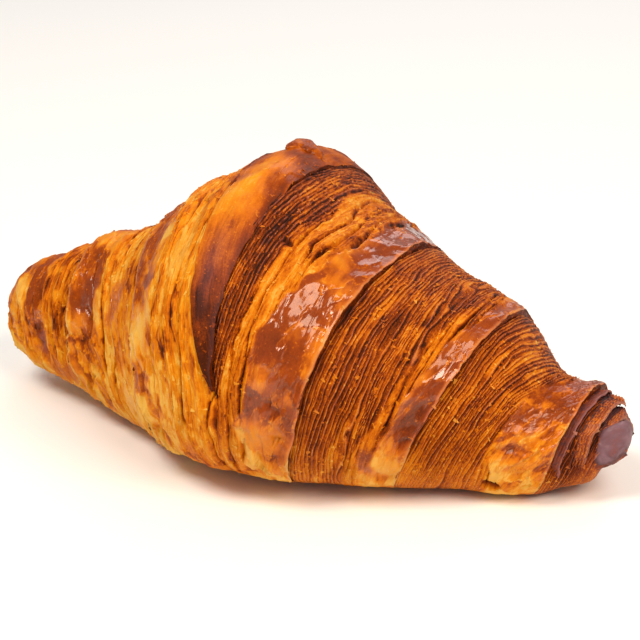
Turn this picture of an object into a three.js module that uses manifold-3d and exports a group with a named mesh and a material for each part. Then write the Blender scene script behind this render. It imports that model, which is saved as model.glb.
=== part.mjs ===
// A croissant, baked: one solid. Millimetres, +Z up, resting on a flat spot at z = 0.
// X runs from end to end of the crescent, whose two ends turn toward +Y; the dough's last
// point lies on the side that faces -Y. The origin is under the middle of its box.
//
// The roll is one long strip of dough wound both ways from its point. Places on it are told by
// x, the distance along the curved middle line, and by an angle: 0 is the front (-Y) side,
// 90 the top, 180 the back and -90 the underside. A turn counts from the point, over the top.

import * as THREE from 'three';
import Module from 'manifold-3d';
import { mergeVertices } from 'three/addons/utils/BufferGeometryUtils.js';

// The crescent and its thickness
const bendRadius = { left: 295, right: 445 };
const leftEnd = 79;
const rightEnd = 87;
const bellyAt = 0.45; // height of the widest place, as a share of the section's height
const upperRoundness = 2.1; // 2 is an ellipse, more is boxier
const lowerRoundness = 2.7;
const sag = 0.8; // how far the underside is pressed flat
const sections = [
  // along the middle line, half the width, height, lift off the table
  [-leftEnd, 0, 0, 20],
  [-77.5, 8, 15, 13],
  [-75, 11, 21.5, 9.5],
  [-68, 14, 28.5, 6],
  [-50, 17.5, 40, 3],
  [-30, 25.5, 53, 0],
  [-12, 39.5, 67.5, 0],
  [2, 45, 73, 0],
  [14, 43, 66, 0],
  [30, 35, 54, 0],
  [48, 25.5, 46, 0],
  [60, 21.5, 38.5, 0],
  [66, 17.5, 31, 0],
  [72, 14.5, 24, 2],
  [78, 12.5, 20.5, 4],
  [84, 8, 14, 8],
  [rightEnd, 0, 0, 15],
];

// The winding: where each turn's edge lies, counted from the middle line's middle
const pointAngle = -2; // degrees, the dough's point on the front
const pointAt = -0.3;
const pointHook = 5; // the point is bent toward the right end
const pointHookAngle = 25; // degrees over which the bend fades
const winding = {
  right: {
    end: rightEnd,
    edge: [[0, 0], [1, 21.5], [2, 44], [3, 71], [4, rightEnd]],
    lean: [[0, 3], [1, 4.2], [2, 7], [3, 2.2]], // the top of an edge lies further out
    rise: [[0, 0.8], [0.12, 1.6], [1, 1], [2, 1.1], [3, 1.4]], // the edge stands up
    drop: [[0, 0.9], [0.12, 1.7], [1, 0.9], [2, 1], [3, 1.6]], // sheer step beyond it
    hollow: [[0, 0.4], [0.15, 2.4], [1, 1.2], [2, 1.5], [3, 0.8]], // depth of the valley after it
    hollowAt: [[0, 0.16], [1, 0.3], [2, 0.45], [3, 0.3]], // its place across the band
  },
  left: {
    end: leftEnd,
    edge: [[0, 0], [1, 19], [2, 48], [2.35, 51.5], [3, leftEnd]],
    lean: [[0, 1.9], [1, 3.4], [2, 0.7]],
    rise: [[0, 0.8], [0.12, 1.2], [1, 1], [2, 1]],
    drop: [[0, 0.7], [1, 0.8], [2, 0.8]],
    hollow: [[0, 0.3], [0.15, 0.9], [1, 0.9], [2, 0.8]],
    hollowAt: [[0, 0.25], [1, 0.3], [2, 0.3]],
  },
};
const hollowWidth = 0.2; // share of the band
const lipWidth = 3.5; // mm over which the skin turns up to an edge
const stepWidth = 2.5; // mm over which the sheer step runs out
const creaseTurn = 0.05; // the dent under the point fades over this share of a turn

// Ribs of cut layers beside each edge
const ribHeight = 0.28;
const ribsUntil = 0.6; // share of the band
const swell = 0.5; // slow unevenness of the crust

// Small pieces that stand out of the crust
const crestCurl = { along: 4.8, angle: 100, size: [4.4, 3, 1.9], sink: -0.4 };
const coreKnob = { along: 82.5, angle: 8, size: [5.6, 5, 5.2], sink: 3.2 };
const endLeaves = { count: 5, along: 76.5, pitch: 1.9, angle: 96, size: [1.1, 7.5, 5.2], sink: 3.4, turn: 9 };

const stepsPerTurn = 30;
const rowsPerBand = 15;

const rad = THREE.MathUtils.degToRad;
const clamp = THREE.MathUtils.clamp;

// A smooth curve through (place, value) pairs that never overshoots them
function through(pairs) {
  const slopes = pairs.slice(1).map(([x, y], i) => (y - pairs[i][1]) / (x - pairs[i][0]));
  const tangents = pairs.map((_, i) => {
    if (i === 0) return slopes[0];
    if (i === pairs.length - 1) return slopes[i - 1];
    const [before, after] = [slopes[i - 1], slopes[i]];
    return before * after <= 0 ? 0 : (2 * before * after) / (before + after);
  });
  return (x) => {
    if (x <= pairs[0][0]) return pairs[0][1];
    const i = pairs.findIndex((pair) => pair[0] >= x) - 1;
    if (i < 0) return pairs[pairs.length - 1][1];
    const width = pairs[i + 1][0] - pairs[i][0];
    const t = (x - pairs[i][0]) / width;
    const start = pairs[i][1] * (1 + 2 * t) * (1 - t) ** 2 + tangents[i] * width * t * (1 - t) ** 2;
    return start + pairs[i + 1][1] * t * t * (3 - 2 * t) - tangents[i + 1] * width * t * t * (1 - t);
  };
}

const column = (index) => through(sections.map((section) => [section[0], section[index]]));
const halfWidth = column(1);
const height = column(2);
const lift = column(3);

// The point of the crust at x and angle, raised by `rise` from the smooth section
function crust(x, angle, rise, target = new THREE.Vector3()) {
  const bend = (x < 0 ? 1 / bendRadius.left : 1 / bendRadius.right);
  const turn = bend * x;
  const up = Math.sin(rad(angle));
  const out = Math.cos(rad(angle));
  const roundness = up > 0 ? upperRoundness : lowerRoundness;
  const reach = height(x) * (up > 0 ? 1 - bellyAt : bellyAt) + 1e-4;
  const across = halfWidth(x) + 1e-4;
  const radius = (Math.abs(out / across) ** roundness + Math.abs(up / reach) ** roundness) ** (-1 / roundness) + rise;
  const side = -radius * out;
  const z = lift(x) + bellyAt * height(x) + radius * up - sag;
  return target.set(Math.sin(turn) / bend - Math.sin(turn) * side,
    (1 - Math.cos(turn)) / bend + Math.cos(turn) * side, Math.max(z, 0));
}

// How far out the edge lies after `turns` turns, on one side
function makeEdge(side, sign) {
  const edge = through(side.edge);
  const lean = through(side.lean);
  return (turns) => {
    const angle = pointAngle + 360 * turns;
    const hook = pointHook * Math.exp(-Math.max(turns, 0) * 360 / pointHookAngle);
    const out = edge(turns) + lean(turns) * (Math.sin(rad(angle)) - Math.sin(rad(pointAngle)));
    return clamp(pointAt + hook + sign * out, -leftEnd, rightEnd);
  };
}

// The middle of the first turn, before the strip is wound on both sides of the point
function flapMiddle(turns) {
  const fade = 360 / pointHookAngle;
  return pointAt + pointHook * (Math.exp(-(turns + 1) * fade) + Math.exp(turns * fade));
}

// Height of the crust over the smooth section, `across` the band from 0 to 1
function makeRelief(side, sign) {
  const [rise, drop, hollow, hollowAt] = [side.rise, side.drop, side.hollow, side.hollowAt].map(through);
  return (turns, across, width, row, x, angle) => {
    const under = turns < 0 ? Math.exp(-((turns / creaseTurn) ** 2)) : 1;
    const inner = Math.max(turns, 0);
    const fromEdge = across * width;
    const toEdge = (1 - across) * width;
    const valley = hollow(inner) * Math.exp(-(((across - hollowAt(inner)) / hollowWidth) ** 2));
    const ribs = across > 0 && across < ribsUntil && turns > 0 ? ribHeight * (row % 2 ? -1 : 1) : 0;
    const uneven = swell * Math.sin(x / 6.1 + 2.3 * rad(angle)) * Math.sin(3 * rad(angle) + x / 9.7 + sign);
    const edge = rise(turns + 1) * Math.exp(-((toEdge / lipWidth) ** 2));
    const step = under * drop(inner) * Math.exp(-fromEdge / stepWidth);
    return edge - step - under * valley + (ribs + uneven) * Math.min(1, width / 8);
  };
}

// One strip is wound on each side of the first turn; its rows run from edge to edge, and the
// last row of each turn stands over the first row of the next one
const points = [];
const faces = [];
const put = (point) => points.push(point) - 1;

const turnsOf = (side) => side.edge[side.edge.length - 1][0];
const point = put(crust(flapMiddle(-1), pointAngle, winding.right.rise[0][1]));
const middle = [point];

function wind(side, sign) {
  const edgeAt = makeEdge(side, sign);
  const relief = makeRelief(side, sign);
  const steps = Math.round((turnsOf(side) + 1) * stepsPerTurn);
  const end = put(crust(sign * side.end, 0, 0));
  const grid = [];
  for (let i = 0; i <= steps; i++) {
    const turns = i / stepsPerTurn - 1;
    const angle = pointAngle + 360 * turns;
    const inner = turns <= 0 ? flapMiddle(turns) : edgeAt(turns);
    const outer = turns + 1 >= turnsOf(side) ? sign * side.end : edgeAt(turns + 1);
    const width = Math.abs(outer - inner);
    const rowOf = (j) => {
      const across = j / rowsPerBand;
      const x = inner + (outer - inner) * across;
      return crust(x, angle, relief(turns, across, width, j, x, angle));
    };
    grid.push([]);
    for (let j = 0; j <= rowsPerBand; j++) {
      const atPoint = i === 0;
      const atEnd = i === steps || (j === rowsPerBand && turns + 1 >= turnsOf(side));
      const onMiddle = j === 0 && i <= stepsPerTurn;
      if (onMiddle && middle[i] === undefined) middle[i] = put(rowOf(0));
      if (atPoint) grid[i].push(point);
      else if (atEnd) grid[i].push(end);
      else grid[i].push(onMiddle ? middle[i] : put(rowOf(j)));
    }
  }
  for (let i = 0; i < steps; i++) {
    for (let j = 0; j < rowsPerBand; j++) quad(grid[i][j], grid[i][j + 1], grid[i + 1][j + 1], grid[i + 1][j], sign);
    const above = i + stepsPerTurn;
    if (above >= steps) continue;
    quad(grid[i][rowsPerBand], grid[above][0], grid[above + 1][0], grid[i + 1][rowsPerBand], sign);
  }
}

function quad(a, b, c, d, sign) {
  const corners = sign > 0 ? [[a, b, c], [a, c, d]] : [[a, c, b], [a, d, c]];
  for (const [p, q, r] of corners) {
    if (p !== q && q !== r && r !== p) faces.push(p, q, r);
  }
}

wind(winding.right, 1);
wind(winding.left, -1);

const wasm = await Module();
wasm.setup();

function solidOf(vertProperties, triVerts) {
  return new wasm.Manifold(new wasm.Mesh({ numProp: 3, vertProperties, triVerts }));
}

// A lump of crust: a ball squeezed to `size`, sunk into the crust at a place on it
function lump({ along, angle, size, sink }, spin = 0, detail = 14) {
  const ball = new THREE.SphereGeometry(1, detail, detail - 4);
  ball.deleteAttribute('normal');
  ball.deleteAttribute('uv');
  const merged = mergeVertices(ball);
  const at = crust(along, angle, -sink);
  const turn = along / (along < 0 ? bendRadius.left : bendRadius.right);
  merged.applyMatrix4(new THREE.Matrix4().makeScale(...size));
  merged.applyMatrix4(new THREE.Matrix4().makeRotationX(rad(90 - angle)));
  merged.applyMatrix4(new THREE.Matrix4().makeRotationZ(turn + rad(spin)));
  merged.applyMatrix4(new THREE.Matrix4().makeTranslation(at.x, at.y, at.z));
  return solidOf(Float32Array.from(merged.attributes.position.array), Uint32Array.from(merged.index.array));
}

let solid = solidOf(Float32Array.from(points.flatMap((p) => p.toArray())), Uint32Array.from(faces));
solid = solid.add(lump(crestCurl, -12));
solid = solid.add(lump(coreKnob));
for (let leaf = 0; leaf < endLeaves.count; leaf++) {
  const along = endLeaves.along + leaf * endLeaves.pitch;
  solid = solid.add(lump({ ...endLeaves, along, angle: endLeaves.angle - 14 * leaf }, endLeaves.turn * (leaf - 2)));
}

const mesh = solid.getMesh();
const geometry = new THREE.BufferGeometry();
geometry.setAttribute('position', new THREE.BufferAttribute(Float32Array.from(mesh.vertProperties), 3));
geometry.setIndex(new THREE.BufferAttribute(Uint32Array.from(mesh.triVerts), 1));
geometry.computeBoundingBox();
const box = geometry.boundingBox;
geometry.translate(-(box.min.x + box.max.x) / 2, -(box.min.y + box.max.y) / 2, -box.min.z);

const crustMaterial = new THREE.MeshStandardMaterial({ color: 0xb26a26, roughness: 0.5, metalness: 0 });
const croissant = new THREE.Mesh(geometry, crustMaterial);
croissant.name = 'croissant';

const group = new THREE.Group();
group.add(croissant);

export default group;
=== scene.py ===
import math
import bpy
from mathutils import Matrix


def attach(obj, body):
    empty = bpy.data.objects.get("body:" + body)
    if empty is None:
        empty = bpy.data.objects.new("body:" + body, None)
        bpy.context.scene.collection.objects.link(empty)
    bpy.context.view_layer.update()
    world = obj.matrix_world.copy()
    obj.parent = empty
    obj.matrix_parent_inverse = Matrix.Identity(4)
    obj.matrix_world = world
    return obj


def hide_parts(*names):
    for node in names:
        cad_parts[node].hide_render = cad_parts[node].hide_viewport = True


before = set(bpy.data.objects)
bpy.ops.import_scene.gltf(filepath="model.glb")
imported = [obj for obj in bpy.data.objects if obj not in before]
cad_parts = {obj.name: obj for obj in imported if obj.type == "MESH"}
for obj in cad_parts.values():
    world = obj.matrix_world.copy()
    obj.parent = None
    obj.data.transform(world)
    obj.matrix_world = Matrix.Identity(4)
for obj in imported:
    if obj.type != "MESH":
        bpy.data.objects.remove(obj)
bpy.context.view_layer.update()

from types import SimpleNamespace
import bpy
import numpy as np
from mathutils import Vector

# A baked croissant. Lengths of the dough are in mm and turned into metres when a mesh is made.
# A turn is one lap round the roll, counted from the dough's point over the top; an angle of 0
# is the front, 90 the top, 180 the back and -90 the underside.
mm = 0.001
scene = bpy.context.scene

roll = {
    "middleOfBox": (4.93, -0.18),  # where the frame's origin lies on the crescent's own axes
    "bend": (295, 445),  # radius of the crescent, left and right
    "ends": (79, 87),
    "belly": 0.45,
    "roundness": (2.1, 2.7),
    "sag": 0.8,
    "sections": [  # along the middle line, half the width, height, lift off the table
        (-79, 0, 0, 20), (-77.5, 8, 15, 13), (-75, 11, 21.5, 9.5), (-68, 14, 28.5, 6),
        (-50, 17.5, 40, 3), (-30, 25.5, 53, 0), (-12, 39.5, 67.5, 0), (2, 45, 73, 0),
        (14, 43, 66, 0), (30, 35, 54, 0), (48, 25.5, 46, 0), (60, 21.5, 38.5, 0),
        (66, 17.5, 31, 0), (72, 14.5, 24, 2), (78, 12.5, 20.5, 4), (84, 8, 14, 8), (87, 0, 0, 15),
    ],
    "pointAngle": -2,
    "pointAt": -0.3,
    "hook": 5,
    "hookAngle": 25,
    "lipWidth": 3.0,
    "stepWidth": 1.6,
    "creaseTurn": 0.05,
}

rightArm = {
    "sign": 1,
    "turns": 4,
    "edge": [(0, 0), (1, 21.5), (2, 44), (3, 71), (4, 87)],
    "lean": [(0, 3), (1, 4.2), (2, 7), (3, 2.2)],
    "rise": [(0, 0.5), (0.12, 0.1), (0.6, 0.5), (1, 0.8), (2, 0.8), (3, 1.1)],
    "drop": [(0, 0.4), (0.12, 0.1), (0.6, 0.5), (1, 0.7), (2, 0.7), (3, 0.9)],
    "hollow": [(0, 0.7), (0.15, 2.2), (1, 0.9), (2, 1.5), (3, 0.8)],
    "hollowAt": [(0, 0.2), (0.15, 0.3), (0.3, 0.38), (1, 0.3), (2, 0.5), (3, 0.3)],
    "fineUntil": [(-0.4, 0.05), (0, 0.2), (0.25, 0.32), (1, 0.58), (1.25, 0.7), (2, 0.6), (3, 0.75)],
    "coarseUntil": [(-0.4, 0.45), (0, 0.45), (0.25, 0.72), (1, 0.72), (1.25, 0.84), (2, 0.62), (3, 0.8)],
    "finePitch": [(0, 0.65), (1, 0.85), (2, 0.8), (3, 0.7)],
    "coarsePitch": [(0, 2.9), (1, 1.9), (2, 1.6), (3, 1.2)],
    "fineHeight": 0.42,
    "coarseHeight": 0.75,
    "lump": 0.45,
    "fold": 0.58,
    "slant": 0.5,
    "lowBelow": 0.4,
    "lowPale": 0.6,
    "cutToast": [(-0.4, 0.5), (0, 0.66), (0.3, 0.66), (1, 0.62), (2, 0.58), (3, 0.7)],
    "stripToast": [(-0.4, 0.36), (0, 0.36), (1, 0.44), (3, 0.48)],
    "skinToast": [(-0.4, 0.5), (0, 0.64), (1, 0.66), (1.7, 0.66), (2, 0.64), (3, 0.7)],
    "gold": [(0, 0.5), (1.5, 0.55), (2, 0.65), (2.9, 0.6), (3.1, 0.1), (4, 0.1)],
    "mealy": [(0, 0.25), (1.6, 0.25), (2, 1), (3, 1)],
    "grooveRun": 9,
    "stripCut": 0.8,
    "patchy": 0.2,
    "pleated": 0.15,
    "gloss": 1,
    "burntEnd": {  # mm along the roll, and degrees round it, between which it comes in
        "sink": 2.6,  # mm that the burnt end inside the leaves lies back
        "burnt": (78.5, 82),
        "burntToast": 0.2,
        "tanned": (73, 79),
        "tannedBelow": (15, -25),
        "tannedBehind": (-150, -90),
        "tanToast": 0.54,
        "tanShare": 0.7,
        "tanAsh": 0.12,
    },
    "spots": [  # mm along, degrees round, half length, half height, toast and shade, glaze, ash and sheen, sink
        # the first two are a hole at the base and a pit, painted darkest as shade in them
        (58.2, -31, 1.5, 1.0, 1.0, 0, 0, 1.6),
        (11.8, 54, 1.2, 0.8, 0.95, 0, 0, 0.9),
        (37.6, -20, 2.8, 2.2, 0.1, 0.3, 0, -0.1),
        (33.4, -16, 1.4, 3.4, 0.66, 0.6, 0, 0.2),
        (14.5, -12, 4.0, 3.0, 0.26, 0.5, 0, 0),
    ],
    "seed": 11,
}

leftArm = {
    "sign": -1,
    "turns": 3,
    "edge": [(0, 0), (0.08, 3.2), (0.19, 3.7), (1, 19), (2, 48), (2.35, 51.5), (3, 79)],
    "lean": [(0, 1.9), (1, 3.4), (2, 0.7)],
    "rise": [(0, 0.5), (0.15, 0), (0.5, 0.2), (0.9, 1.3), (2, 1.4)],
    "drop": [(0, 0.4), (0.15, 0), (0.5, 0.2), (0.9, 1.3), (2, 1.5)],
    "hollow": [(0, 0.4), (0.15, 0.9), (1, 0.8), (2, 0.6)],
    "hollowAt": [(0, 0.25), (1, 0.3), (2, 0.3)],
    "fineUntil": [(-0.4, 0), (3, 0)],
    "coarseUntil": [(-0.4, 0.6), (0, 0.6), (1, 0.6), (2, 0.4), (3, 0.5)],
    "finePitch": [(0, 0.9), (3, 0.9)],
    "coarsePitch": [(0, 5.6), (1, 5.0), (2, 4.2)],
    "fineHeight": 0.3,
    "coarseHeight": 1.15,
    "lump": 0.5,
    "fold": 0.5,
    "slant": 0.2,
    "lowBelow": 0.5,
    "lowPale": 0.85,
    "cutToast": [(0, 0.3), (3, 0.3)],
    "stripToast": [(-0.4, 0.34), (0, 0.24), (1, 0.26), (2, 0.4)],
    "skinToast": [(-0.4, 0.4), (0, 0.46), (1, 0.58), (1.9, 0.6)],
    "gold": [(0, 0.9), (3, 0.8)],
    "mealy": [(0, 0.6), (3, 0.6)],
    "grooveRun": 24,
    "stripCut": 0.3,
    "patchy": 0.3,
    "pleated": 0.5,
    "gloss": 0.22,
    "burntEnd": None,
    "spots": [
        (-19.2, 14, 3.0, 5.0, 0.03, 0.5, 0, -0.2),
        (-10, 40, 2.2, 7.0, 0.03, 0, 0, -0.1),
        (-26, -22, 2.4, 5.0, 0.08, 0.3, 0, 0),
        (-33, 30, 1.8, 4.5, 0.5, 0.8, 0.1, 0.1),
        (-44.2, 38, 2.6, 5.0, 0.7, 1, 0, 0.1),
        (-44.7, 20, 2.0, 1.8, 0.34, 1, 0, -0.3),
        (-51.5, -30, 6.5, 2.6, 0.5, 0.1, 0.1, 0.1),
        (-60.3, -10, 1.6, 2.6, 0.62, 0.5, 0.3, 0.1),
        (-62, 16, 2.2, 2.0, 0.5, 1, 0, -0.3),
    ],
    "seed": 29,
}

flap = {
    "rows": 190,
    "step": 0.55,
    "girth": 250,  # mm round the middle of the roll
    "mmPerDegree": 0.65,
    "lump": 0.5,
    "gold": 0.3,
    "plate": 0.25,
    "fold": 0.4,
    "wrinkle": 0.15,
    "thinPoint": 0.8,  # mm high where the point is narrower than 2.5 mm
    "baked": {"lump": 0.1, "plate": 0.08, "fold": -0.14, "patch": 0.1, "streak": 0.08},
    "toast": [(-1, 0.96), (-0.965, 0.84), (-0.94, 0.64), (-0.91, 0.42), (-0.87, 0.38), (-0.82, 0.4),
              (-0.78, 0.46), (-0.72, 0.52), (-0.3, 0.5)],
    "darkest": 0.84,
    "scorched": (3.4, 92, 2.6, 1.7, 0.72),  # painted shadow under the crest curl: mm along, degrees round, half length, half height, toast and shade
    "seed": 5,
}

shell = {
    "row": 0.16,  # mm between the rows over the cut layers
    "step": 0.6,  # mm along the roll
    "tuck": 1.6,  # how far a turn reaches under the one before
    "under": 2.6,  # thickness of a turn
    "thinnest": 1.4,  # thickness where the roll rests on the table
    "tuckedClear": 0.6,  # mm off the table where a turn is under the one before
    "wallRows": 6,
    "wallStart": 0.015,
    "wallLean": 0.5,
    "wallWave": 0.25,
    "underRows": 5,
    "underDeeper": 0.6,
    "backRowWidth": 0.4,  # mm on the map to each row of the wall and the underside
    "ragged": 0.45,
    # the wall under each lip is painted darker as shade
    "wallDressAndShade": {"toast": 0.74, "glaze": 0, "cut": 1, "gold": 0.2, "ash": 0, "flaky": 0},
}

bandCurves = ("fineUntil", "coarseUntil", "finePitch", "coarsePitch", "cutToast", "stripToast", "skinToast",
              "gold", "mealy")

# how far the cut layers wander: layers, mm along the roll, mm across it, own seed
layerWarps = [(1.1, 40, 6, 0), (0.6, 12, 2.6, 1), (0.2, 2.6, 1.5, 2), (0.25, 5.5, 1.9, 9)]

bumps = {  # mm along the roll and across it to one bump, own seed, octaves
    "fibre": (5, 0.5, 40, 1),
    "grit": (0.9, 0.45, 41, 1),
    "lump": (8, 6, 50, 2),
    "rough": (2.4, 1.6, 52, 2),
    "swell": (22, 14, 70, 3),
}

patches = {  # mm along and across, own seed, where it starts and is full, share of the roughness
    "crumb": (13, 2.4, 7, 0.15, 0.4, 0.25),
    "scorched": (17, 3.3, 8, 0.1, 0.6, 0),
    "browned": (12, 1.8, 33, 0.15, 0.6, 0),
}

standOut = {  # mm that each pattern stands out of the crust
    "tucked": 1.1,
    "crease": 1.0,
    "swell": 0.6,
    "halfLayer": 0.12,
    "layerGrit": 0.08,
    "strand": 0.2,
    "fibre": 0.12,
    "stripGrit": 0.1,
    "stripScrap": 0.12,
    "stripFold": 0.45,
    "plate": 0.3,
    "crack": 0.1,
    "mealyScrap": 0.25,
    "lowFold": 0.3,
    "crinkle": 0.7,
    "crinkleLine": 0.2,
    "crackle": 0.05,
}

baked = {  # how much darker each pattern is baked; the darker gaps, grooves, step and crease are painted shade, and the lighter crests and lip are painted highlights
    "layer": 0.1,
    "layerCrest": -0.3,
    "layerCrestOwn": -0.12,
    "halfCrest": -0.06,
    "gap": 0.26,
    "gapOwn": 0.1,
    "halfGap": 0.07,
    "layerGrit": 0.06,
    "scorched": 0.14,
    "crumb": -0.22,
    "strip": 0.13,
    "groove": 0.42,
    "fibre": 0.07,
    "stripGrit": 0.09,
    "stripScrap": 0.05,
    "browned": 0.2,
    "stripCrumb": -0.12,
    "torn": 0.2,
    "tornScrap": 0.14,
    "stripFold": 0.16,
    "strandGap": 0.24,
    "strandCrest": -0.12,
    "lump": 0.1,
    "plate": 0.12,
    "fold": -0.18,
    "crack": -0.2,
    "nearLip": 0.13,
    "pleatGroove": 0.3,
    "pleat": 0.12,
    "mealyTorn": 0.09,
    "mealyScrap": 0.07,
    "mealyGrit": 0.08,
    "skinDarkest": 0.64,
    "step": 0.35,
    "crease": 0.3,
    "lowest": 0.2,  # what the crust pales to near the table
    "crackle": 0.18,
    "crinkle": 0.2,
    "lowFold": -0.2,
    "crinkleLine": -0.16,
    "lipHighlight": -0.3,
}


def through(pairs):
    # a smooth curve that never overshoots its points
    xs = np.array([p[0] for p in pairs], float)
    ys = np.array([p[1] for p in pairs], float)
    slope = np.diff(ys) / np.diff(xs)
    tangent = np.concatenate([slope[:1], np.zeros(len(xs) - 2), slope[-1:]])
    before, after = slope[:-1], slope[1:]
    same = before * after > 0
    tangent[1:-1][same] = 2 * before[same] * after[same] / (before + after)[same]

    def at(x):
        x = np.clip(np.asarray(x, float), xs[0], xs[-1])
        i = np.clip(np.searchsorted(xs, x) - 1, 0, len(xs) - 2)
        width = xs[i + 1] - xs[i]
        t = (x - xs[i]) / width
        start = ys[i] * (1 + 2 * t) * (1 - t) ** 2 + tangent[i] * width * t * (1 - t) ** 2
        return start + ys[i + 1] * t * t * (3 - 2 * t) - tangent[i + 1] * width * t * t * (1 - t)
    return at


halfWidth, height, lift = (through([(s[0], s[k]) for s in roll["sections"]]) for k in (1, 2, 3))


def crust(x, angle, rise):
    # points of the crust, in metres, from mm along the roll, radians round it and mm outward
    bend = np.where(x < 0, 1 / roll["bend"][0], 1 / roll["bend"][1])
    turn = bend * x
    up, out = np.sin(angle), np.cos(angle)
    above = up > 0
    power = np.where(above, *roll["roundness"])
    reach = height(x) * np.where(above, 1 - roll["belly"], roll["belly"]) + 1e-4
    across = halfWidth(x) + 1e-4
    radius = (np.abs(out / across) ** power + np.abs(up / reach) ** power) ** (-1 / power)
    radius = np.maximum(radius + rise, 0.02)
    side = -radius * out
    z = lift(x) + roll["belly"] * height(x) + radius * up - roll["sag"]
    place = np.stack(np.broadcast_arrays(
        np.sin(turn) / bend - np.sin(turn) * side - roll["middleOfBox"][0],
        (1 - np.cos(turn)) / bend + np.cos(turn) * side - roll["middleOfBox"][1],
        np.maximum(z, 0)), -1)
    return place * mm


def meanRadius(x):
    return (halfWidth(x) + height(x) / 2) / 2


def angleOf(turns):
    # radians round the roll
    return np.radians(roll["pointAngle"] + 360 * turns)


def edgeAt(arm, turns, bent=1):
    # where the edge of the dough lies after so many turns
    angle = angleOf(turns)
    hook = bent * roll["hook"] * np.exp(-np.maximum(turns, 0) * 360 / roll["hookAngle"])
    lean = through(arm["lean"])(turns) * (np.sin(angle) - math.sin(angleOf(0)))
    place = roll["pointAt"] + hook + arm["sign"] * (through(arm["edge"])(turns) + lean)
    place = np.where(turns >= arm["turns"], arm["sign"] * 99, place)
    return np.clip(place, -roll["ends"][0], roll["ends"][1])


def flapMiddle(turns):
    # the line under the flap where the two arms meet
    fade = 360 / roll["hookAngle"]
    return roll["pointAt"] + roll["hook"] * (np.exp(-(turns + 1) * fade) + np.exp(turns * fade / 4))


def smooth(low, high, x):
    # 0 up to low, 1 from high on
    t = np.clip((x - low) / (high - low), 0, 1)
    return t * t * (3 - 2 * t)


def bell(distance, width):
    # 1 in the middle, falling off on both sides
    return np.exp(-(distance / width) ** 2)


def softNoise(x, y, seed):
    # smooth random field from -1 to 1, one bump to each unit
    table = np.random.default_rng(seed).uniform(-1, 1, (256, 256))
    x, y = np.broadcast_arrays(x, y)
    i, j = np.floor(x).astype(int), np.floor(y).astype(int)
    u, v = x - i, y - j
    u = u * u * u * (u * (u * 6 - 15) + 10)
    v = v * v * v * (v * (v * 6 - 15) + 10)
    a, b = table[i & 255, j & 255], table[(i + 1) & 255, j & 255]
    c, d = table[i & 255, (j + 1) & 255], table[(i + 1) & 255, (j + 1) & 255]
    return (a * (1 - u) + b * u) * (1 - v) + (c * (1 - u) + d * u) * v


def layered(x, y, seed, octaves=3):
    # soft noise with finer, weaker noise over it
    total, weight = 0, 0
    for k in range(octaves):
        total = total + softNoise(x * 2 ** k, y * 2 ** k, seed + k) / 2 ** k
        weight += 1 / 2 ** k
    return total / weight


def folds(x, y, seed):
    # a crumpled film: random heights joined by flat triangles
    table = np.random.default_rng(seed).uniform(-1, 1, (256, 256))
    x, y = np.broadcast_arrays(x + 0.4 * y, y - 0.25 * x)
    i, j = np.floor(x).astype(int), np.floor(y).astype(int)
    u, v = x - i, y - j
    a, b = table[i & 255, j & 255], table[(i + 1) & 255, j & 255]
    c, d = table[i & 255, (j + 1) & 255], table[(i + 1) & 255, (j + 1) & 255]
    return np.where(u > v, a + (b - a) * u + (d - b) * v, a + (d - c) * u + (c - a) * v)


def plates(x, y, seed):
    # broken plates, each tilted its own way, with a tone and a distance from the nearest crack
    rng = np.random.default_rng(seed)
    jitter = rng.uniform(0.1, 0.9, (64, 64, 2))
    own = rng.uniform(-1, 1, (64, 64, 4))
    x, y = np.broadcast_arrays(x, y)
    i, j = np.floor(x).astype(int), np.floor(y).astype(int)
    nearest, second = np.full(x.shape, 99.0), np.full(x.shape, 99.0)
    tilted, tone = np.zeros(x.shape), np.zeros(x.shape)
    for a in (-1, 0, 1):
        for b in (-1, 0, 1):
            cell = (i + a) & 63, (j + b) & 63
            dx, dy = x - i - a - jitter[cell][..., 0], y - j - b - jitter[cell][..., 1]
            apart = dx * dx + dy * dy
            closer = apart < nearest
            second = np.where(closer, nearest, np.minimum(second, apart))
            mine = own[cell]
            tilted = np.where(closer, mine[..., 0] * dx + mine[..., 1] * dy + 0.35 * mine[..., 2], tilted)
            tone = np.where(closer, mine[..., 3], tone)
            nearest = np.where(closer, apart, nearest)
    return SimpleNamespace(tilt=tilted, tone=tone, edge=np.sqrt(second) - np.sqrt(nearest))


def leaves(phase, along, seed):
    # edges of stacked layers: each rises outward to a crisp edge, then drops to the next
    layer = np.floor(phase)
    part = phase - layer
    own = softNoise(along / 11 + layer * 13.7, layer * 3.1 + 0.5, seed)
    chip = softNoise(along / 3.5 + layer * 9.7, layer * 5.9 + 0.5, seed + 2)
    lifted = np.maximum(softNoise(along / 6 + layer * 5.3, layer * 7.7 + 0.5, seed + 1) - 0.3, 0)
    edge = 0.82 + 0.06 * chip
    profile = np.maximum(part / edge, 0) ** 2.4 * (1 - smooth(edge, edge + 0.1, part)) - 0.25
    crest = bell(part - edge + 0.06, 0.1)
    gap = bell(np.minimum(part + 0.02, np.abs(0.98 - part)), 0.12)
    profile = profile * (0.85 + 0.5 * own + 2.0 * lifted + 0.25 * chip)
    return SimpleNamespace(own=own, crest=crest, gap=gap, profile=profile)


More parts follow.
